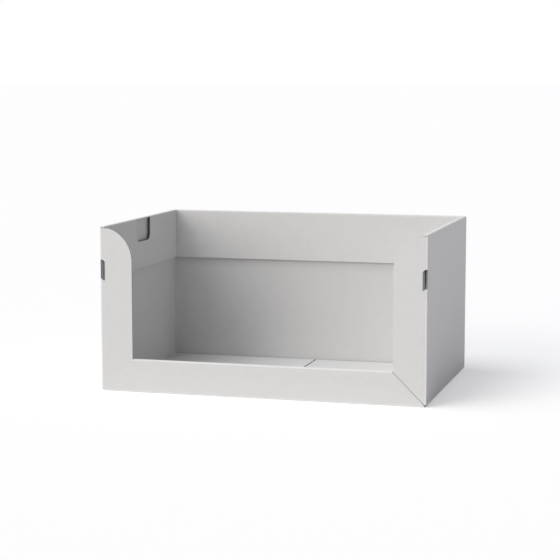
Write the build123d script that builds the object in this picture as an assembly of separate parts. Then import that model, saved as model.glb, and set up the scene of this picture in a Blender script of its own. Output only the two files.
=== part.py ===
from build123d import *
import os

# Counter display tray, folded and glued from one die-cut sheet of fine-flute board.
# Millimetres, +Z up, the open window faces -Y. The origin is on the table under the tray's middle.

# Overall size
width = 400.0
depth = 270.0
height = 200.0

# Board, folds and rolled-over walls
board = 1.5
fold_inner = 0.25
air_gap = 2.5
edge_clearance = 0.4

# Front window
flange = 40.0
flange_arc = 40.0
lip = 40.0

# Turned-down bands inside the side and back walls
band_height = 64.0
back_band_inset = 4.0

# Finger notch in each side band, just below its top fold
notch_width = 50.0
notch_start = 1.2
notch_depth = 30.0
notch_radius = 9.0

# Lock slots at the front folds, and the band tabs in them
slot_height = 25.0
slot_chamfer = 3.0
slot_skin = 0.5
slot_below_band = 1.0
tab_recess = 0.8
tab_root = 4.0
tab_slit = 0.3
tab_turned = 12.0

# Bottom flaps, corner reliefs and the closing joint
floor_seam = 2.0
corner_relief = 2.5
corner_leg = 6.0
mitre_gap = 0.5
glue_tab_width = 20.0
glue_tab_root = 3.0
glue_tab_setback = 6.0

# Places that follow from the sizes
left = -width / 2
right = width / 2
front = -depth / 2
back = depth / 2
fold_middle = fold_inner + board / 2
fold_outer = fold_inner + board
rolled_wall = 2 * board + air_gap
outer_flap_line = board / 2
inner_flap_line = outer_flap_line + board
floor_top = 2 * board
band_low = height - band_height
raw_top = height - board - edge_clearance
slot_low = band_low - slot_below_band
slot_top = slot_low + slot_height
tab_top = slot_top - slot_chamfer
lip_middle = lip / 2
mitre_length = lip * 2 ** 0.5
past = 1.0


def along_x(profile, start, end):
    """Extrude a profile drawn in Y and Z from one X to another."""
    return extrude(Plane.YZ.offset(start) * profile, end - start)


def along_y(profile, start, end):
    """Extrude a profile drawn in X and Z from one Y to another."""
    return extrude(Plane.XZ.offset(-end) * profile, end - start)


def along_z(profile, start, end):
    """Extrude a profile drawn in X and Y from one Z to another."""
    return extrude(Plane.XY.offset(start) * profile, end - start)


def folded(*points):
    """Edge view of the board along a folded middle line."""
    return trace(FilletPolyline(*points, radius=fold_middle), board)


def box_profile(low_u, low_v, high_u, high_v):
    """Rectangle from its lowest and highest corner."""
    return Pos((low_u + high_u) / 2, (low_v + high_v) / 2) * Rectangle(high_u - low_u, high_v - low_v)


def mirrored(shape):
    """The same feature or front-view profile on the other side."""
    return mirror(shape, about=Plane.YZ)


def rolled_edge(outer, inward, top, outer_end, inner_end):
    """A wall's top, folded over and down again: outer face at one place, band towards the inside."""
    wall_line = outer + inward * board / 2
    band_line = outer + inward * (rolled_wall - board / 2)
    top_line = top - board / 2
    return folded((wall_line, outer_end), (wall_line, top_line), (band_line, top_line), (band_line, inner_end))


def wall_and_flap(outer, inward, top, flap_line, flap_end):
    """A wall and the bottom flap that turns in from its lower edge."""
    wall_line = outer + inward * board / 2
    return folded((wall_line, top), (wall_line, flap_line), (flap_end, flap_line))


# Side wall with its inner bottom flap, its rolled band, finger notch and lock tab
def side_wall():
    section = wall_and_flap(left, 1, raw_top, inner_flap_line, -floor_seam / 2)
    wall = along_y(section, front + corner_relief, back - corner_relief)

    roll = rolled_edge(left, 1, height, band_low, band_low)
    band_front = front + board + edge_clearance
    band_back = back - rolled_wall - edge_clearance
    band = along_y(roll, band_front, band_back)
    strip_nose = roll & box_profile(left - past, height - board, left + rolled_wall + past, height + past)
    band += along_y(strip_nose, front, band_front)

    notch = Pos(0, height) * RectangleRounded(notch_width, 2 * notch_depth, notch_radius)
    notch &= box_profile(-notch_width, 0, notch_width, height - notch_start)
    band -= along_x(notch, left + rolled_wall - board, left + rolled_wall + past)

    root = front + tab_root
    freed = box_profile(front - past, band_low - past, root, tab_top + tab_slit)
    band -= along_x(freed, left + rolled_wall - board, left + rolled_wall + past)
    return wall + band + lock_tab(root)


# The band's lock tab, folded back on itself into the rolled wall
def lock_tab(root):
    outer_x = left + rolled_wall
    inner_x = outer_x - 2 * fold_outer
    nose_y = front + tab_recess + fold_outer
    turn = Pos(outer_x - fold_outer, nose_y) * (Circle(fold_outer) - Circle(fold_inner))
    profile = turn & box_profile(inner_x, front, outer_x, nose_y)
    profile += box_profile(outer_x - board, nose_y, outer_x, root)
    profile += box_profile(inner_x, nose_y, inner_x + board, nose_y + tab_turned)
    return along_z(profile, band_low, tab_top)


# Back wall with its outer bottom flap and rolled band
def back_wall():
    section = wall_and_flap(back, -1, raw_top, outer_flap_line, floor_seam / 2)
    wall = along_x(section, left + corner_relief, right - corner_relief)
    roll = rolled_edge(back, -1, height, band_low, band_low)
    return wall + along_x(roll, left + back_band_inset, right - back_band_inset)


# Front lip with its outer bottom flap, rolled over to a second layer that stands on the floor
def front_lip():
    section = wall_and_flap(front, 1, lip_middle, outer_flap_line, -floor_seam / 2)
    base = along_x(section, left + corner_relief, right - corner_relief)
    roll = rolled_edge(front, 1, lip, lip_middle, floor_top)
    return base + along_x(roll, left + flange, right - flange)


# Flat front: two flanges with quarter-round tops beside the window, above the lip's full width
def front_panel():
    arc_level = height - board / 2 - flange_arc
    flank = box_profile(left + fold_outer, floor_top, left + flange, raw_top)
    crown = Pos(left + flange - flange_arc, arc_level) * Circle(flange_arc)
    shaft = box_profile(left + fold_outer, floor_top, left + flange, arc_level)
    shape = shaft + (flank & crown)
    shape += mirrored(shape)
    shape += box_profile(left + corner_relief, fold_outer, right - corner_relief, lip - fold_outer)
    return along_y(shape, front, front + board)


# Upright folds at the four corners, short of the bottom and the top by their reliefs
def corner_folds():
    wall_x = left + board / 2
    folds = Part()
    for side, inward in ((front, 1), (back, -1)):
        wall_y = side + inward * board / 2
        profile = folded((left + corner_leg, wall_y), (wall_x, wall_y), (wall_x, side + inward * corner_leg))
        fold = along_z(profile, floor_top, raw_top)
        folds += fold + mirrored(fold)
    return folds


# Slot beside the front fold, with a lead-in at its upper inner and lower outer corners
def lock_slot():
    outer_x = left + slot_skin
    inner_x = left + rolled_wall + edge_clearance
    profile = Polygon(
        (outer_x, slot_low + slot_chamfer),
        (outer_x, slot_top),
        (inner_x - slot_chamfer, slot_top),
        (inner_x, slot_top - slot_chamfer),
        (inner_x, slot_low),
        (outer_x + slot_chamfer, slot_low),
        align=None,
    )
    return along_y(profile, front - past, front + board)


def on_mitre(along, across):
    """Front-view point measured from the window's lower right corner, down the mitre and to its left."""
    diagonal = 2 ** -0.5
    return (right - flange + (along - across) * diagonal, lip - (along + across) * diagonal)


# Mitre between the lip and the right flange, where the folded sheet closes on itself
def mitre_cut():
    half = mitre_gap / 2
    profile = Polygon(
        on_mitre(-past, -half),
        on_mitre(mitre_length, -half),
        on_mitre(mitre_length, half),
        on_mitre(-past, half),
        align=None,
    )
    return along_y(profile, front - past, front + board)


# Glue tab that runs from behind the right flange's foot to behind the lip
def glue_tab():
    strip = Polygon(
        on_mitre(glue_tab_setback, -glue_tab_root),
        on_mitre(mitre_length, -glue_tab_root),
        on_mitre(mitre_length, glue_tab_width),
        on_mitre(glue_tab_setback, glue_tab_width),
        align=None,
    )
    room = box_profile(0, floor_top, right - fold_outer, lip - fold_outer)
    return along_y(strip & room, front + board, front + 2 * board)


side = side_wall()
tray = side + mirrored(side) + back_wall() + front_lip() + front_panel() + corner_folds()
slot = lock_slot()
tray -= slot + mirrored(slot) + mitre_cut()
tray += glue_tab()

os.makedirs("parts", exist_ok=True)
export_step(tray, "parts/display_tray.step")
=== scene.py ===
from math import atan2, cos, floor, hypot, pi, radians, sin

import bpy
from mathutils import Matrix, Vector
from mathutils.geometry import delaunay_2d_cdt


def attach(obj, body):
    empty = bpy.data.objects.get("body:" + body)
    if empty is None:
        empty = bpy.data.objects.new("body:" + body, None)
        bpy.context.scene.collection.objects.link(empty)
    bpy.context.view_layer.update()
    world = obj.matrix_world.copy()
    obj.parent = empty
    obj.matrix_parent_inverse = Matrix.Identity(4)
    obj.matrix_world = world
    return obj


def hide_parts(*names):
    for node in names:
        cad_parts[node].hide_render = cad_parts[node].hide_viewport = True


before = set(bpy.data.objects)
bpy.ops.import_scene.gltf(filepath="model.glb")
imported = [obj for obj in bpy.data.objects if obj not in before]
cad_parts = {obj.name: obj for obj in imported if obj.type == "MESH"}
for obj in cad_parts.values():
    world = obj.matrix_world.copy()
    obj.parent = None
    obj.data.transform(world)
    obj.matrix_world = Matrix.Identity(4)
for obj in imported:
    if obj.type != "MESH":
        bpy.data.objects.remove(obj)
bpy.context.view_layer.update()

# The display tray is one die-cut sheet of fine-flute board. It is built here as that sheet:
# each panel is an outline on the flat blank, wrapped round its folds, with real thickness,
# liners on both sides and the flute pattern on every cut edge.

MM = 0.001

# Sizes in millimetres, the same as the solid model's apart from the lock tabs, which stand straight here
WIDTH, DEPTH, HEIGHT = 400.0, 270.0, 200.0
BOARD = 1.5
FOLD_INNER = 0.25
AIR_GAP = 2.5
EDGE_CLEARANCE = 0.4
FLANGE = 40.0
FLANGE_ARC = 40.0
LIP = 40.0
BAND_HEIGHT = 64.0
BACK_BAND_INSET = 4.0
NOTCH_WIDTH, NOTCH_DEPTH, NOTCH_RADIUS = 50.0, 30.0, 9.0
SLOT_HEIGHT, SLOT_CHAMFER, SLOT_SKIN, SLOT_BELOW_BAND = 25.0, 3.0, 0.5, 1.0
TAB_RECESS = 0.8
FLOOR_SEAM = 2.0
CORNER_RELIEF = 2.5
MITRE_GAP = 0.5
GLUE_TAB_WIDTH, GLUE_TAB_ROOT, GLUE_TAB_SETBACK = 20.0, 3.0, 6.0

# Places that follow from the sizes
LEFT, RIGHT = -WIDTH / 2, WIDTH / 2
FRONT, BACK = -DEPTH / 2, DEPTH / 2
HALF = BOARD / 2
FOLD_MIDDLE = FOLD_INNER + HALF
FOLD_OUTER = FOLD_INNER + BOARD
ROLLED_WALL = 2 * BOARD + AIR_GAP
FLOOR_TOP = 2 * BOARD
BAND_LOW = HEIGHT - BAND_HEIGHT
RAW_TOP = HEIGHT - BOARD - EDGE_CLEARANCE
ROLL_START = HEIGHT - FOLD_OUTER
ROLL_LINE = HEIGHT - HALF
SLOT_LOW = BAND_LOW - SLOT_BELOW_BAND
SLOT_TOP = SLOT_LOW + SLOT_HEIGHT
SLOT_FOOT = SLOT_LOW + SLOT_SKIN + SLOT_CHAMFER - FOLD_OUTER
TAB_TOP = SLOT_TOP - SLOT_CHAMFER
WALL_EDGE = RIGHT - FOLD_OUTER
RELIEF_EDGE = RIGHT - CORNER_RELIEF
WINDOW = RIGHT - FLANGE

# Distances along the flat blank, from where a wall's roll starts or along the roll itself
S_RAW = ROLL_START - RAW_TOP
S_FLOOR = ROLL_START - FLOOR_TOP
S_QUARTER = FOLD_MIDDLE * pi / 2
S_STRIP = AIR_GAP + BOARD - 2 * FOLD_MIDDLE

# Board detail. The outside of a fold is drawn tight, and stations across it match the bend's own.
FLUTE_PITCH = 3.2
OPEN_FLUTE = 0.25
CRISP_RADIUS = 0.7
TIGHT_LENGTH = 2 * (FOLD_OUTER - CRISP_RADIUS) + CRISP_RADIUS * pi / 2
ARC_STEPS = 5
ROUND_STEPS = 10
FLANGE_STEPS = 24
CREASE_REACH = 2.2
NOSE_START = 0.2
NOTCH_START = 0.8
SLOT_IN_FOLD = 0.3

# How near two places count as the same
AT_END = 1e-9
AT_POINT = 1e-6
AT_LINE = 1e-5
AT_VERTEX = 1e-7


def moved(point, way, distance):
    """A point of the plane, moved along a direction."""
    return (point[0] + way[0] * distance, point[1] + way[1] * distance)


def turned(way, square, angle):
    """A direction turned by an angle towards the one square to it."""
    along, across = cos(angle), sin(angle)
    return (way[0] * along + square[0] * across, way[1] * along + square[1] * across)


def reverse(way):
    return (-way[0], -way[1])


class Folds:
    """Middle line of a folded run of board in one plane, addressed by the distance along it."""

    def __init__(self, *corners):
        self.runs = []
        self.marks = []
        at = 0.0
        here = corners[0]
        for i in range(1, len(corners)):
            corner = corners[i]
            dx, dy = corner[0] - corners[i - 1][0], corner[1] - corners[i - 1][1]
            ahead = (dx / hypot(dx, dy), dy / hypot(dx, dy))
            long = hypot(corner[0] - here[0], corner[1] - here[1])
            last = i == len(corners) - 1
            run = long if last else long - FOLD_MIDDLE
            self.runs.append(("flat", at, at + run, here, ahead, 0.0))
            at += run
            if last:
                break
            nx, ny = corners[i + 1][0] - corner[0], corners[i + 1][1] - corner[1]
            side = 1.0 if ahead[0] * ny - ahead[1] * nx > 0 else -1.0
            start = moved(corner, ahead, -FOLD_MIDDLE)
            self.runs.append(("arc", at, at + S_QUARTER, start, ahead, side))
            self.marks.append((at, at + S_QUARTER))
            at += S_QUARTER
            length = hypot(nx, ny)
            here = moved(corner, (nx / length, ny / length), FOLD_MIDDLE)
        self.length = at

    def skin(self, s, t):
        """Point and outward direction of the board's face at distance s, t to the left of the middle.
        On the outside of a fold the liner has a smaller radius than the board's bend."""
        for kind, low, high, start, ahead, side in self.runs:
            if s <= high + AT_END or high >= self.length - AT_END:
                break
        left = (-ahead[1], ahead[0])
        sign = 1.0 if t > 0 else -1.0
        if kind == "flat":
            return moved(moved(start, ahead, s - low), left, t), (left[0] * sign, left[1] * sign)
        part = (s - low) / (high - low)
        inward = (left[0] * side, left[1] * side)
        outward = reverse(inward)
        if sign == side:
            facing = turned(inward, reverse(ahead), part * pi / 2)
            centre = moved(start, inward, FOLD_MIDDLE)
            return moved(centre, facing, HALF - FOLD_MIDDLE), facing
        run = FOLD_OUTER - CRISP_RADIUS
        travel = part * TIGHT_LENGTH
        first = moved(start, outward, HALF)
        if travel <= run:
            return moved(first, ahead, travel), outward
        if travel >= TIGHT_LENGTH - run:
            corner = moved(first, ahead, FOLD_OUTER)
            return moved(corner, inward, FOLD_OUTER - (TIGHT_LENGTH - travel)), ahead
        facing = turned(outward, ahead, (travel - run) / CRISP_RADIUS)
        centre = moved(moved(first, ahead, run), inward, CRISP_RADIUS)
        return moved(centre, facing, CRISP_RADIUS), facing

    def stations(self):
        """Distances at which the sheet needs a row of points."""
        run = (FOLD_OUTER - CRISP_RADIUS) / TIGHT_LENGTH
        parts = [0.0, run / 2]
        parts += [run + (1 - 2 * run) * k / ARC_STEPS for k in range(ARC_STEPS + 1)]
        parts += [1 - run / 2, 1.0]
        found = []
        for low, high in self.marks:
            found += [low + (high - low) * part for part in parts]
            found += [low - CREASE_REACH, high + CREASE_REACH]
        return [s for s in found if -AT_END <= s <= self.length + AT_END]

    def crease(self, s):
        """1 in a fold, falling to 0 beside it."""
        near = min((max(low - s, s - high, 0.0) for low, high in self.marks), default=CREASE_REACH)
        return max(0.0, 1.0 - near / CREASE_REACH)


class Sheet:
    """Collects the board's faces, with what the materials need to know about each."""

    def __init__(self):
        self.points = []
        self.faces = []
        self.normals = []
        self.uvs = []
        self.creases = []
        self.inner = []
        self.cut = []

    def add(self, corners, normals, uvs, creases, cut, inner=0.0):
        a, b, c = (Vector(corners[k]) for k in (0, 1, 2))
        facing = (b - a).cross(c - a)
        wanted = sum((Vector(n) for n in normals), Vector())
        if facing.dot(wanted) < 0:
            rows = (corners, normals, uvs, creases)
            corners, normals, uvs, creases = (list(reversed(row)) for row in rows)
        first = len(self.points)
        self.points += [tuple(corner) for corner in corners]
        self.faces.append(tuple(range(first, first + len(corners))))
        self.normals += [tuple(n) for n in normals]
        self.uvs += uvs
        self.creases += creases
        self.inner += [inner] * len(corners)
        self.cut.append(cut)


def inside(x, y, loops):
    """Even-odd test against all the outline's loops."""
    odd = False
    for loop in loops:
        for (x0, y0), (x1, y1) in zip(loop, loop[1:] + loop[:1]):
            if (y0 > y) != (y1 > y) and x < x0 + (y - y0) * (x1 - x0) / (y1 - y0):
                odd = not odd
    return odd


def triangulated(folds, loops):
    """Points and triangles of the outline's inside, with rows of points at the folds."""
    points, edges = [], []
    for loop in loops:
        first = len(points)
        points += [Vector(p) for p in loop]
        edges += [(first + k, first + (k + 1) % len(loop)) for k in range(len(loop))]
    w_low, w_high = min(p[1] for p in points) - 1, max(p[1] for p in points) + 1
    s_low, s_high = min(p[0] for p in points), max(p[0] for p in points)
    for s in folds.stations():
        if s_low + AT_POINT < s < s_high - AT_POINT:
            points += [Vector((s, w_low)), Vector((s, w_high))]
            edges.append((len(points) - 2, len(points) - 1))
    verts, _, triangles, _, _, _ = delaunay_2d_cdt(points, edges, [], 0, AT_VERTEX)
    kept = []
    for tri in triangles:
        x = sum(verts[i].x for i in tri) / 3
        y = sum(verts[i].y for i in tri) / 3
        if inside(x, y, loops):
            kept.append(tuple(tri))
    return verts, kept


def on_line(p, line):
    axis, value = line
    return abs((p.x if axis == "s" else p.y) - value) <= AT_LINE


def lay(sheet, folds, maps, loops, joined=(), closed=(), flutes_along_s=True, mirrored=False, outer=1.0):
    """Wraps the outline loops, drawn in (distance along the folds, position across), in thick board.
    maps turn a plane's point and direction into the frame's. joined are outline lines that another
    panel continues, ("s", value) or ("w", value), and closed are edges pressed shut, which show
    the liner. outer is the side of the outer liner, 1 on the left of the run."""
    place, turn = maps
    verts, kept = triangulated(folds, loops)
    flip = -1.0 if mirrored else 1.0

    def spot(i, t):
        (u, v), _ = folds.skin(verts[i].x, t)
        p = place(u, v, verts[i].y)
        return (flip * p[0] * MM, p[1] * MM, p[2] * MM)

    def outward(i, t):
        n = turn(*folds.skin(verts[i].x, t)[1])
        return (flip * n[0], n[1], n[2])

    def uv(i):
        s, w = verts[i]
        return (w / FLUTE_PITCH, s / FLUTE_PITCH) if flutes_along_s else (s / FLUTE_PITCH, w / FLUTE_PITCH)

    used = {}
    for tri in kept:
        for t in (HALF, -HALF):
            sheet.add(
                [spot(i, t) for i in tri],
                [outward(i, t) for i in tri],
                [uv(i) for i in tri],
                [folds.crease(verts[i].x) for i in tri],
                False,
                0.0 if t * outer > 0 else 1.0,
            )
        for a, b in zip(tri, tri[1:] + tri[:1]):
            used.setdefault(frozenset((a, b)), []).append((a, b))

    for pair in used.values():
        if len(pair) != 1:
            continue
        a, b = pair[0]
        if any(on_line(verts[a], line) and on_line(verts[b], line) for line in joined):
            continue
        corners = [spot(a, -HALF), spot(b, -HALF), spot(b, HALF), spot(a, HALF)]
        va, vb, vc, vd = (Vector(corner) for corner in corners)
        normal = (vb - va).cross(vc - va).normalized()
        middle = (va + vd + vb + vc) / 4
        third = [i for tri in kept if a in tri and b in tri for i in tri if i not in (a, b)][0]
        behind = (Vector(spot(third, -HALF)) + Vector(spot(third, HALF))) / 2
        if normal.dot(middle - behind) < 0:
            normal = -normal
        across_a, across_b = uv(a)[0], uv(b)[0]
        # A cut along a flute is placed at an open flute, so it shows the hollow in its painted shade
        if abs(across_a - across_b) < AT_POINT:
            across_a = across_b = floor(across_a) + OPEN_FLUTE
        shut = any(on_line(verts[a], line) and on_line(verts[b], line) for line in closed)
        uvs = [(across_a, 0.0), (across_b, 0.0), (across_b, 1.0), (across_a, 1.0)]
        sheet.add(corners, [tuple(normal)] * 4, uvs, [0.0] * 4, not shut)


def rounded(points, radii):
    """Outline with its listed corners rounded."""
    out = []
    count = len(points)
    for k, (x, y) in enumerate(points):
        r = radii.get(k, 0.0)
        if not r:
            out.append((x, y))
            continue
        (px, py), (nx, ny) = points[k - 1], points[(k + 1) % count]
        a0, a1 = atan2(py - y, px - x), atan2(ny - y, nx - x)
        cx, cy = x + (cos(a0) + cos(a1)) * r, y + (sin(a0) + sin(a1)) * r
        start, end = a1 + pi, a0 + pi
        while end - start > pi:
            end -= 2 * pi
        while end - start < -pi:
            end += 2 * pi
        for j in range(ROUND_STEPS + 1):
            a = start + (end - start) * j / ROUND_STEPS
            out.append((cx + cos(a) * r, cy + sin(a) * r))
    return out


# Maps from a fold plane to the frame: one for its points, one for its directions
IN_XZ = (lambda u, v, w: (u, w, v), lambda nu, nv: (nu, 0.0, nv))
IN_YZ = (lambda u, v, w: (w, u, v), lambda nu, nv: (0.0, nu, nv))
IN_XY = (lambda u, v, w: (u, v, w), lambda nu, nv: (nu, nv, 0.0))


# Outlines on the flat blank
def wall_outline(length, roll_ends, wall_ends, flap_ends):
    """Wall and bottom flap: narrower where the corner folds and the reliefs need it."""
    (r0, r1), (w0, w1), (f0, f1) = roll_ends, wall_ends, flap_ends
    return [
        (0.0, r0), (0.0, r1), (S_RAW, r1), (S_RAW, w1), (S_FLOOR, w1), (S_FLOOR, f1),
        (length, f1), (length, f0), (S_FLOOR, f0), (S_FLOOR, w0), (S_RAW, w0), (S_RAW, r0),
    ]


def strip_outline(length, end):
    """Plain strip, the same on both sides of the middle."""
    return [(0.0, -end), (0.0, end), (length, end), (length, -end)]


def side_band_outlines(length, band_front, band_back):
    """Rolled band with its lock tab and the strip over the flange, then its finger notch."""
    nose_in = S_QUARTER * NOSE_START
    nose_out = 2 * S_QUARTER + S_STRIP - nose_in
    s_tab = length - (TAB_TOP - BAND_LOW)
    tab_end = FRONT + TAB_RECESS
    band = [
        (0.0, band_front), (nose_in, band_front), (nose_in, FRONT), (nose_out, FRONT),
        (nose_out, band_front), (s_tab, band_front), (s_tab, tab_end), (length, tab_end),
        (length, band_back), (0.0, band_back),
    ]
    s_cut = S_QUARTER + S_STRIP + S_QUARTER * NOTCH_START
    s_low = length - (HEIGHT - NOTCH_DEPTH - BAND_LOW)
    half_notch = NOTCH_WIDTH / 2
    notch = [(s_cut, -half_notch), (s_low, -half_notch), (s_low, half_notch), (s_cut, half_notch)]
    return [band, rounded(notch, {1: NOTCH_RADIUS, 2: NOTCH_RADIUS})]


def front_corner_outline(length):
    """Upright fold at the front, with the part of the lock slot that lies in it."""
    s_slot = length * SLOT_IN_FOLD
    return [
        (0.0, FLOOR_TOP), (length, FLOOR_TOP), (length, SLOT_FOOT), (s_slot, SLOT_LOW + SLOT_CHAMFER),
        (s_slot, SLOT_TOP), (length, SLOT_TOP), (length, RAW_TOP), (0.0, RAW_TOP),
    ]


def back_corner_outline(length):
    return [(0.0, FLOOR_TOP), (length, FLOOR_TOP), (length, RAW_TOP), (0.0, RAW_TOP)]


def flange_top(sign):
    """Quarter round from the wall's fold to the window, as points (x, z)."""
    arc_level = ROLL_LINE - FLANGE_ARC
    centre = sign * (WINDOW + FLANGE_ARC)
    out = [(sign * WALL_EDGE, RAW_TOP)]
    for k in range(FLANGE_STEPS + 1):
        a = pi / 2 * k / FLANGE_STEPS
        px, pz = centre - sign * FLANGE_ARC * sin(a), arc_level + FLANGE_ARC * cos(a)
        if pz <= RAW_TOP and abs(px) <= WALL_EDGE:
            out.append((px, pz))
    return out


def slot_edge(sign):
    """The slot's edge on the flange, from its bottom at the fold to its top."""
    slot_in = RIGHT - ROLLED_WALL - EDGE_CLEARANCE
    return [
        (sign * WALL_EDGE, SLOT_FOOT),
        (sign * (RIGHT - SLOT_SKIN - SLOT_CHAMFER), SLOT_LOW),
        (sign * slot_in, SLOT_LOW),
        (sign * slot_in, SLOT_TOP - SLOT_CHAMFER),
        (sign * (slot_in + SLOT_CHAMFER), SLOT_TOP),
        (sign * WALL_EDGE, SLOT_TOP),
    ]


def to_flat(points):
    """Front-view points as places on the flat front."""
    return [(px - LEFT, pz) for px, pz in points]


sheet = Sheet()

# Side walls with their inner bottom flaps and rolled bands, and the upright folds at the corners
wall_x, band_x, flap_z = LEFT + HALF, LEFT + ROLLED_WALL - HALF, BOARD + HALF
near, far = FRONT + FOLD_OUTER, BACK - FOLD_OUTER
band_front, band_back = FRONT + BOARD + EDGE_CLEARANCE, BACK - ROLLED_WALL - EDGE_CLEARANCE
wall = Folds((wall_x, ROLL_START), (wall_x, flap_z), (-FLOOR_SEAM / 2, flap_z))
wall_shape = wall_outline(
    wall.length, (band_front, band_back), (near, far), (FRONT + CORNER_RELIEF, BACK - CORNER_RELIEF))
roll = Folds((wall_x, ROLL_START), (wall_x, ROLL_LINE), (band_x, ROLL_LINE), (band_x, BAND_LOW))
roll_shape = side_band_outlines(roll.length, band_front, band_back)
for mirrored in (False, True):
    lay(sheet, wall, IN_XZ, [wall_shape],
        joined=[("s", 0.0), ("w", near), ("w", far)], mirrored=mirrored, outer=-1.0)
    lay(sheet, roll, IN_XZ, roll_shape, joined=[("s", 0.0)], closed=[("w", FRONT)], mirrored=mirrored)
    for side, inward, shape in ((FRONT, 1.0, front_corner_outline), (BACK, -1.0, back_corner_outline)):
        wall_y = side + inward * HALF
        bend = Folds((wall_x, side + inward * FOLD_OUTER), (wall_x, wall_y), (LEFT + FOLD_OUTER, wall_y))
        lay(sheet, bend, IN_XY, [shape(bend.length)], joined=[("s", 0.0), ("s", bend.length)],
            flutes_along_s=False, mirrored=mirrored, outer=-inward)

# Back wall with its outer bottom flap, and its rolled band
wall_y, band_y = BACK - HALF, BACK - ROLLED_WALL + HALF
roll_end = RIGHT - BACK_BAND_INSET
wall = Folds((wall_y, ROLL_START), (wall_y, HALF), (FLOOR_SEAM / 2, HALF))
wall_shape = wall_outline(
    wall.length, (-roll_end, roll_end), (-WALL_EDGE, WALL_EDGE), (-RELIEF_EDGE, RELIEF_EDGE))
lay(sheet, wall, IN_YZ, [wall_shape], joined=[("s", 0.0), ("w", WALL_EDGE), ("w", -WALL_EDGE)])
roll = Folds((wall_y, ROLL_START), (wall_y, ROLL_LINE), (band_y, ROLL_LINE), (band_y, BAND_LOW))
lay(sheet, roll, IN_YZ, [strip_outline(roll.length, roll_end)], joined=[("s", 0.0)], outer=-1.0)

# Front: the left flange with the lip, then the right flange beyond the mitre
front_y = FRONT + HALF
lip_start, lip_line = LIP - FOLD_OUTER, LIP - HALF
gap = MITRE_GAP / 2 * 2 ** 0.5
flat = Folds((LEFT, front_y), (RIGHT, front_y))
left_part = flange_top(-1) + [
    (-WINDOW, lip_start), (WINDOW - gap + (LIP - lip_start), lip_start),
    (RELIEF_EDGE - gap, LIP - FLANGE + CORNER_RELIEF), (RELIEF_EDGE - gap, FOLD_OUTER),
    (-RELIEF_EDGE, FOLD_OUTER), (-RELIEF_EDGE, FLOOR_TOP), (-WALL_EDGE, FLOOR_TOP),
] + slot_edge(-1)
lay(sheet, flat, IN_XY, [to_flat(left_part)], flutes_along_s=False, outer=-1.0,
    joined=[("s", FOLD_OUTER), ("w", lip_start), ("w", FOLD_OUTER)])
right_part = flange_top(1) + [
    (WINDOW, LIP + gap), (WALL_EDGE, LIP + gap - (WALL_EDGE - WINDOW)),
] + slot_edge(1)
lay(sheet, flat, IN_XY, [to_flat(right_part)], flutes_along_s=False, outer=-1.0,
    joined=[("s", WIDTH - FOLD_OUTER)])

# Lip, rolled over to a second layer that stands on the floor, and its outer bottom flap
inner_y = FRONT + ROLLED_WALL - HALF
roll = Folds((front_y, lip_start), (front_y, lip_line), (inner_y, lip_line), (inner_y, FLOOR_TOP))
lay(sheet, roll, IN_YZ, [strip_outline(roll.length, WINDOW)], joined=[("s", 0.0)])
flap = Folds((front_y, FOLD_OUTER), (front_y, HALF), (-FLOOR_SEAM / 2, HALF))
lay(sheet, flap, IN_YZ, [strip_outline(flap.length, RELIEF_EDGE)], joined=[("s", 0.0)], outer=-1.0)

# Glue tab behind the lip and the right flange's foot
diagonal = 2 ** -0.5


def on_mitre(along, across):
    return (WINDOW + (along - across) * diagonal, LIP - (along + across) * diagonal)


tab_y = FRONT + BOARD + HALF
tab_plane = Folds((LEFT, tab_y), (RIGHT, tab_y))
tab_high = LIP - (WALL_EDGE - WINDOW) + 2 * GLUE_TAB_ROOT * diagonal
tab_low = WINDOW + LIP - FLOOR_TOP - 2 * GLUE_TAB_WIDTH * diagonal
tab = [
    on_mitre(GLUE_TAB_SETBACK, -GLUE_TAB_ROOT), (WALL_EDGE, tab_high), (WALL_EDGE, FLOOR_TOP),
    (tab_low, FLOOR_TOP), on_mitre(GLUE_TAB_SETBACK, GLUE_TAB_WIDTH),
]
lay(sheet, tab_plane, IN_XY, [to_flat(tab)], flutes_along_s=False, outer=-1.0)

# The sheet as one mesh
mesh = bpy.data.meshes.new("tray_sheet")
mesh.from_pydata(sheet.points, [], sheet.faces)
uv_layer = mesh.uv_layers.new(name="flutes")
uv_layer.data.foreach_set("uv", [v for pair in sheet.uvs for v in pair])
crease = mesh.attributes.new("crease", "FLOAT", "POINT")
crease.data.foreach_set("value", sheet.creases)
inner_side = mesh.attributes.new("inner", "FLOAT", "POINT")
inner_side.data.foreach_set("value", sheet.inner)
mesh.polygons.foreach_set("material_index", [1 if cut else 0 for cut in sheet.cut])
mesh.polygons.foreach_set("use_smooth", [True] * len(sheet.faces))
mesh.normals_split_custom_set(sheet.normals)
mesh.update()
tray = bpy.data.objects.new("tray_sheet", mesh)
bpy.context.scene.collection.objects.link(tray)


# Materials
def material(name):
    m = bpy.data.materials.new(name)
    m.use_nodes = True
    return m, Nodes(m.node_tree)


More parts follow.
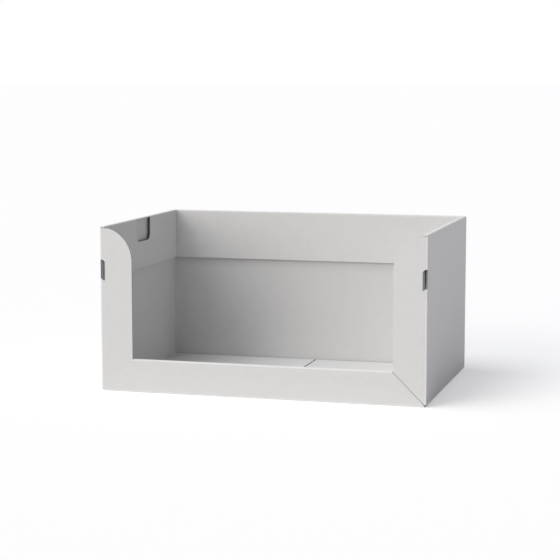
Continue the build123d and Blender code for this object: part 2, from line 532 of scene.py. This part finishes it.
class Nodes:
    """Short calls for building a node tree."""

    def __init__(self, tree):
        self.nodes, self.links = tree.nodes, tree.links

    def add(self, kind, inputs=(), **settings):
        node = self.nodes.new(kind)
        for name, value in settings.items():
            setattr(node, name, value)
        for key, value in dict(inputs).items():
            self.feed(node.inputs[key], value)
        return node

    def feed(self, socket, value):
        if isinstance(value, bpy.types.NodeSocket):
            self.links.new(value, socket)
        else:
            socket.default_value = value

    def math(self, operation, a, b=0.0, c=0.0):
        return self.add("ShaderNodeMath", {0: a, 1: b, 2: c}, operation=operation).outputs[0]

    def total(self, *parts):
        """Sum of the parts, each a (value, share)."""
        result = 0.0
        for value, share in parts:
            result = self.math("MULTIPLY_ADD", value, share, result)
        return result

    def between(self, value, low, high, to_low=0.0, to_high=1.0):
        """Smooth step of value from low to high."""
        inputs = {"Value": value, "From Min": low, "From Max": high, "To Min": to_low, "To Max": to_high}
        return self.add("ShaderNodeMapRange", inputs, interpolation_type="SMOOTHSTEP").outputs["Result"]

    def noise(self, vector, scale, detail, roughness):
        inputs = {"Vector": vector, "Scale": scale, "Detail": detail, "Roughness": roughness}
        return self.add("ShaderNodeTexNoise", inputs).outputs["Fac"]

    def stretch(self, vector, scale):
        return self.add("ShaderNodeMapping", {"Vector": vector, "Scale": scale}).outputs["Vector"]

    def value_at(self, name):
        return self.add("ShaderNodeAttribute", attribute_name=name).outputs["Fac"]

    def flute_place(self):
        """Place on the blank: flutes counted across, and along them or through the board."""
        return self.add("ShaderNodeUVMap", uv_map="flutes").outputs["UV"]

    def object_place(self):
        return self.add("ShaderNodeTexCoord").outputs["Object"]

    def mix(self, factor, a, b):
        node = self.add("ShaderNodeMix", data_type="RGBA")
        for socket, value in ((node.inputs["Factor"], factor), (node.inputs[6], a), (node.inputs[7], b)):
            self.feed(socket, value)
        return node.outputs[2]

    def bump(self, height, distance, normal=None):
        inputs = {"Height": height, "Distance": distance}
        if normal is not None:
            inputs["Normal"] = normal
        return self.add("ShaderNodeBump", inputs).outputs["Normal"]


def tone(colour, factor=1.0):
    return (*(c * factor for c in colour), 1.0)


BLACK, WHITE = (0.0, 0.0, 0.0), (1.0, 1.0, 1.0)
BOARD_COLOUR = (0.764, 0.76, 0.755)
MEDIUM_COLOUR = (0.56, 0.552, 0.54)
# Painted shade for the flute hollows, which are open spaces in the board
HOLLOW_PAINTED_SHADE = (0.04, 0.039, 0.038)
# Near-white for the outside of folds: a painted highlight on top of the stretched liner's own whitening
TAUT_AND_HIGHLIGHT_COLOUR = (0.95, 0.945, 0.935)

# Coated white liner: soft mottle, fibres across the flutes, faint washboard, worn folds, a painted highlight
# on fold outsides over the stretched liner's own whitening, and painted shade on the inner liner
MOTTLE_SCALE, SPECK_SCALE, WRINKLE_SCALE = 90.0, 700.0, 1400.0
FIBRE_STRETCH = (0.55, 2.6, 1.0)
MOTTLE_SHARE, FIBRE_SHARE, SPECK_SHARE = 0.5, 0.35, 0.15
PALER, DARKER = 1.015, 0.985
# Fold outsides are mixed towards near-white: a painted highlight on the top strips and corners, partly the
# stretched liner's own whitening
TAUT_AND_HIGHLIGHT_LIFT, TAUT_AND_HIGHLIGHT_FALL = 0.55, 5.0
WORN_SHARE, WORN_TONE, WORN_FALL = 0.2, 0.86, 1.5
# Painted shade: the inner liner's colour is darkened towards black by this share, standing in for the shade
# on the walls under the bands and inside the tray
INNER_PAINTED_SHADE = 0.07
GLOSSIEST, ROUGHEST, WORN_ROUGHNESS = 0.42, 0.50, 0.12
WASHBOARD_HEIGHT, FIBRE_HEIGHT, WRINKLE_HEIGHT = 0.000004, 0.000012, 0.00005

liner, make = material("white_liner")
shader = make.nodes["Principled BSDF"]
place = make.object_place()
flat_place = make.flute_place()
flute_at = make.add("ShaderNodeSeparateXYZ", {0: flat_place})
fold = make.value_at("crease")
inner = make.value_at("inner")
mottle = make.noise(place, MOTTLE_SCALE, 3.0, 0.55)
specks = make.noise(place, SPECK_SCALE, 2.0, 0.6)
fibres = make.noise(make.stretch(flat_place, FIBRE_STRETCH), 1.0, 3.0, 0.6)
washboard = make.math("SINE", make.math("MULTIPLY", flute_at.outputs["X"], 2 * pi))
wrinkles = make.noise(place, WRINKLE_SCALE, 3.0, 0.65)
worn = make.math("MULTIPLY", make.math("POWER", fold, WORN_FALL), make.between(wrinkles, 0.42, 0.66))
taut_and_highlight = make.math("MULTIPLY", make.math("POWER", fold, TAUT_AND_HIGHLIGHT_FALL), make.math("SUBTRACT", 1.0, inner))
shade = make.total((mottle, MOTTLE_SHARE), (fibres, FIBRE_SHARE), (specks, SPECK_SHARE))
colour = make.mix(make.between(shade, 0.36, 0.64), tone(BOARD_COLOUR, DARKER), tone(BOARD_COLOUR, PALER))
# Painted highlight, partly the stretched liner's own whitening: the outer side of each fold is lightened
colour = make.mix(make.math("MULTIPLY", taut_and_highlight, TAUT_AND_HIGHLIGHT_LIFT), colour, tone(TAUT_AND_HIGHLIGHT_COLOUR))
colour = make.mix(make.math("MULTIPLY", worn, WORN_SHARE), colour, tone(BOARD_COLOUR, WORN_TONE))
# Painted shade: the inner liner is darkened towards black
colour = make.mix(make.math("MULTIPLY", inner, INNER_PAINTED_SHADE), colour, tone(BLACK))
make.feed(shader.inputs["Base Color"], colour)
rough = make.total((make.between(shade, 0.3, 0.7, GLOSSIEST, ROUGHEST), 1.0), (worn, WORN_ROUGHNESS))
make.feed(shader.inputs["Roughness"], rough)
normal = make.bump(washboard, WASHBOARD_HEIGHT)
normal = make.bump(make.math("ADD", fibres, specks), FIBRE_HEIGHT, normal)
normal = make.bump(make.math("MULTIPLY", wrinkles, fold), WRINKLE_HEIGHT, normal)
make.feed(shader.inputs["Normal"], normal)

# Cut edge: two liners, the wavy medium between them and the hollows of the flutes, painted near-black as
# shade
GRAIN_SCALE, DRIFT_SCALE = 1600.0, 160.0
DRIFT_REACH, GRAIN_REACH = 0.25, 0.06
WAVE_HEIGHT, MIDDLE = 0.31, 0.5
MEDIUM_INNER, MEDIUM_OUTER = 0.09, 0.15
LINER_STARTS, LINER_FULL = 0.33, 0.39
LINER_EDGE_TONE, FRAY_TONE, FRAY_SHARE = 0.8, 0.55, 0.25
EDGE_HEIGHT, EDGE_GRAIN = 0.00012, 0.25

cut_edge, make = material("fluted_edge")
shader = make.nodes["Principled BSDF"]
place = make.object_place()
section = make.add("ShaderNodeSeparateXYZ", {0: make.flute_place()})
grain = make.noise(place, GRAIN_SCALE, 3.0, 0.6)
drift = make.noise(place, DRIFT_SCALE, 1.0, 0.5)
along = make.total((section.outputs["X"], 1.0), (drift, DRIFT_REACH))
through = make.total((section.outputs["Y"], 1.0), (make.math("SUBTRACT", grain, MIDDLE), GRAIN_REACH))
wave = make.math("MULTIPLY_ADD", make.math("SINE", make.math("MULTIPLY", along, 2 * pi)), WAVE_HEIGHT, MIDDLE)
off_wave = make.math("ABSOLUTE", make.math("SUBTRACT", through, wave))
on_medium = make.between(off_wave, MEDIUM_INNER, MEDIUM_OUTER, 1.0, 0.0)
off_middle = make.math("ABSOLUTE", make.math("SUBTRACT", through, MIDDLE))
on_liner = make.between(off_middle, LINER_STARTS, LINER_FULL)
solid = make.math("MAXIMUM", on_medium, on_liner)
frayed = make.between(grain, 0.35, 0.75, 0.0, FRAY_SHARE)
# Painted shade: between the medium's waves the flute hollows take a near-black colour
colour = make.mix(on_medium, tone(HOLLOW_PAINTED_SHADE), tone(MEDIUM_COLOUR))
colour = make.mix(on_liner, colour, tone(MEDIUM_COLOUR, LINER_EDGE_TONE))
colour = make.mix(frayed, colour, tone(MEDIUM_COLOUR, FRAY_TONE))
make.feed(shader.inputs["Base Color"], colour)
make.feed(shader.inputs["Roughness"], make.between(grain, 0.2, 0.8, 0.78, 0.95))
make.feed(shader.inputs["Normal"], make.bump(make.total((solid, 1.0), (grain, EDGE_GRAIN)), EDGE_HEIGHT))
mesh.materials.append(liner)
mesh.materials.append(cut_edge)

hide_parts("display_tray")
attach(tray, "root")


# Floor: a pale sheet whose look to the camera is lifted towards white, with the shadow kept
def seen_directly(make):
    """1 for camera, glossy and transmission rays."""
    rays = make.add("ShaderNodeLightPath").outputs
    direct = make.math("MAXIMUM", rays["Is Camera Ray"], rays["Is Glossy Ray"])
    return make.math("MAXIMUM", direct, rays["Is Transmission Ray"])


def two_looks(make, lighting, seen, output):
    """One shader for the light that reaches the object, another for what is seen directly."""
    inputs = {0: seen_directly(make), 1: lighting.outputs[0], 2: seen.outputs[0]}
    surface = make.add("ShaderNodeMixShader", inputs)
    make.links.new(surface.outputs[0], make.nodes[output].inputs["Surface"])


FLOOR_PAINT, FLOOR_SEEN, FLOOR_LIFT = 0.78, 0.72, 0.42
FLOOR_SIDE, FLOOR_NEAR, FLOOR_FAR = 30.0, -12.0, 60.0
floor_mesh = bpy.data.meshes.new("floor")
floor_corners = [
    (-FLOOR_SIDE, FLOOR_NEAR, 0), (FLOOR_SIDE, FLOOR_NEAR, 0),
    (FLOOR_SIDE, FLOOR_FAR, 0), (-FLOOR_SIDE, FLOOR_FAR, 0),
]
floor_mesh.from_pydata(floor_corners, [], [(0, 1, 2, 3)])
ground = bpy.data.objects.new("floor", floor_mesh)
bpy.context.scene.collection.objects.link(ground)
floor_paint, make = material("pale_floor")
paint = make.add("ShaderNodeBsdfDiffuse", {"Color": tone(WHITE, FLOOR_PAINT)})
lit = make.add("ShaderNodeBsdfDiffuse", {"Color": tone(WHITE, FLOOR_SEEN)})
lift = make.add("ShaderNodeEmission", {"Color": tone(WHITE), "Strength": FLOOR_LIFT})
lifted = make.add("ShaderNodeAddShader", {0: lit.outputs[0], 1: lift.outputs[0]})
two_looks(make, paint, lifted, "Material Output")
floor_mesh.materials.append(floor_paint)

# World: a dim, slightly cool sky that is white where it is seen directly
WORLD_LIGHT, WORLD_COLOUR = 0.183, (0.88, 0.885, 1.0)
world = bpy.data.worlds.new("studio")
bpy.context.scene.world = world
world.use_nodes = True
make = Nodes(world.node_tree)
around = make.add("ShaderNodeBackground", {"Color": tone(WORLD_COLOUR), "Strength": WORLD_LIGHT})
white = make.add("ShaderNodeBackground", {"Color": tone(WHITE), "Strength": 1.0})
two_looks(make, around, white, "World Output")


# Lamps
def soft_lamp(name, energy, colour, spread, azimuth, elevation):
    """Broad lamp, azimuth in degrees from the tray's front towards its left."""
    lamp = bpy.data.lights.new(name, "SUN")
    lamp.energy = energy
    lamp.color = colour
    lamp.angle = radians(spread)
    lamp_object = bpy.data.objects.new(name, lamp)
    az, el = radians(azimuth), radians(elevation)
    toward = Vector((-sin(az) * cos(el), -cos(az) * cos(el), sin(el)))
    lamp_object.rotation_euler = toward.to_track_quat("Z", "Y").to_euler()
    bpy.context.scene.collection.objects.link(lamp_object)


soft_lamp("key", energy=1.69, colour=(0.975, 0.985, 1.0), spread=45, azimuth=60, elevation=65)
soft_lamp("front_light", energy=1.35, colour=(1.0, 0.966, 0.889), spread=45, azimuth=35, elevation=20)

# Camera at the photograph's angle
TILT_DOWN, TURN = 7.019, 15.625
camera = bpy.data.cameras.new("camera")
camera.sensor_width = 36.0
camera.lens = 106.809
camera.clip_start, camera.clip_end = 0.05, 100.0
camera_object = bpy.data.objects.new("camera", camera)
camera_object.location = (0.544888, -1.994197, 0.380276)
camera_object.rotation_euler = (radians(90 - TILT_DOWN), 0.0, radians(TURN))
bpy.context.scene.collection.objects.link(camera_object)
bpy.context.scene.camera = camera_object

bpy.context.scene.view_settings.view_transform = "Standard"
